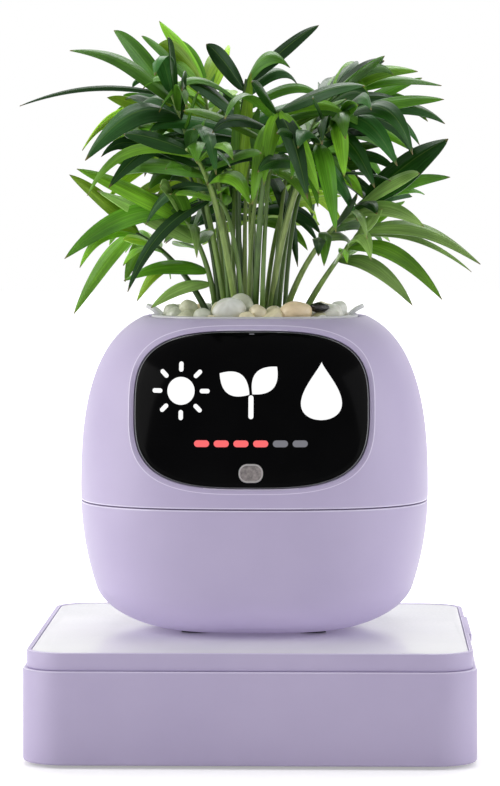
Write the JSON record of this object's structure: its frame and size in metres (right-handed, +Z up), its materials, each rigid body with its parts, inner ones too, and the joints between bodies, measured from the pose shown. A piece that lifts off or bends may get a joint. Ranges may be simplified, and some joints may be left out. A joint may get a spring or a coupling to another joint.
{
  "type": "smart plant pot",
  "caption": "Rounded-square tabletop planter with a curved front screen, a lift-out liner of palm and pebbles, a rear charging socket and power button, on a matching block base.",
  "frame": {"origin": "middle of the base's anti-slip pad, on the surface that the object stands on", "axes": "+Z up, front with the screen towards -Y, +X to the right seen from the front"},
  "size_m": [0.1677, 0.17, 0.2642],
  "materials": {
    "lavender_shell": "satin",
    "lavender_trim": "matte",
    "white_panel": "gloss",
    "white_plastic": "satin",
    "black_lens": "gloss",
    "grey_window": "satin",
    "soft_rubber": "matte",
    "screw_steel": "satin",
    "socket_steel": "satin",
    "shield_can": "satin",
    "circuit_board": "satin",
    "connector_plastic": "satin",
    "copper_foil": "satin",
    "ribbon_film": "satin",
    "display_module": "gloss",
    "dark_plastic": "matte",
    "cell_wrap": "satin",
    "potting_soil": "matte",
    "river_stone": "satin",
    "dark_stone": "satin",
    "palm_leaf": "satin"
  },
  "bodies": {
    "base": {"base_shell": "lavender_shell", "base_floor": "lavender_trim", "base_tray": "lavender_shell", "base_top_panel": "white_panel", "tray_tab": "lavender_shell", "base_foot_pad": "soft_rubber", "base_screws": "screw_steel", "tray_screws": "screw_steel"},
    "pot": {"upper_shell": "lavender_shell", "lower_shell": "lavender_shell", "port_panel": "lavender_trim", "well": "white_plastic", "screen_lens": "black_lens", "sensor_window": "grey_window", "seam_gasket": "soft_rubber", "screen_gasket": "soft_rubber", "well_gasket": "soft_rubber", "pot_feet": "soft_rubber", "well_screws": "screw_steel", "case_screws": "screw_steel", "board_screws": "screw_steel", "charging_socket": "socket_steel", "processor_module": "shield_can", "light_sensor": "circuit_board", "main_board": "circuit_board", "charging_board": "circuit_board", "board_connectors": "connector_plastic", "touch_pads": "copper_foil", "moisture_strip": "copper_foil", "display_ribbon": "ribbon_film", "display_panel": "display_module", "display_cradle": "dark_plastic", "battery_holder": "dark_plastic", "power_switch": "dark_plastic", "battery_cell": "cell_wrap"},
    "power_button": {"power_button": "lavender_shell"},
    "liner": {"liner": "white_plastic", "soil": "potting_soil", "pebbles": "river_stone", "dark_pebble": "dark_stone", "frond_1": "palm_leaf", "frond_2": "palm_leaf", "frond_3": "palm_leaf", "frond_4": "palm_leaf", "frond_5": "palm_leaf", "frond_6": "palm_leaf", "frond_7": "palm_leaf", "frond_8": "palm_leaf", "frond_9": "palm_leaf", "frond_10": "palm_leaf", "frond_11": "palm_leaf", "frond_12": "palm_leaf", "frond_13": "palm_leaf", "frond_14": "palm_leaf"}
  },
  "joints": [
    {"name": "pot_lift", "type": "slide", "parent": "base", "child": "pot", "axis": [0, 0, 1], "range_m": [0, 0.15]},
    {"name": "liner_lift", "type": "slide", "parent": "pot", "child": "liner", "axis": [0, 0, 1], "range_m": [0, 0.12]},
    {"name": "power_button_press", "type": "slide", "parent": "pot", "child": "power_button", "axis": [0, -1, 0], "range_m": [0, 0.0006], "stiffness_N_per_m": 1500}
  ]
}
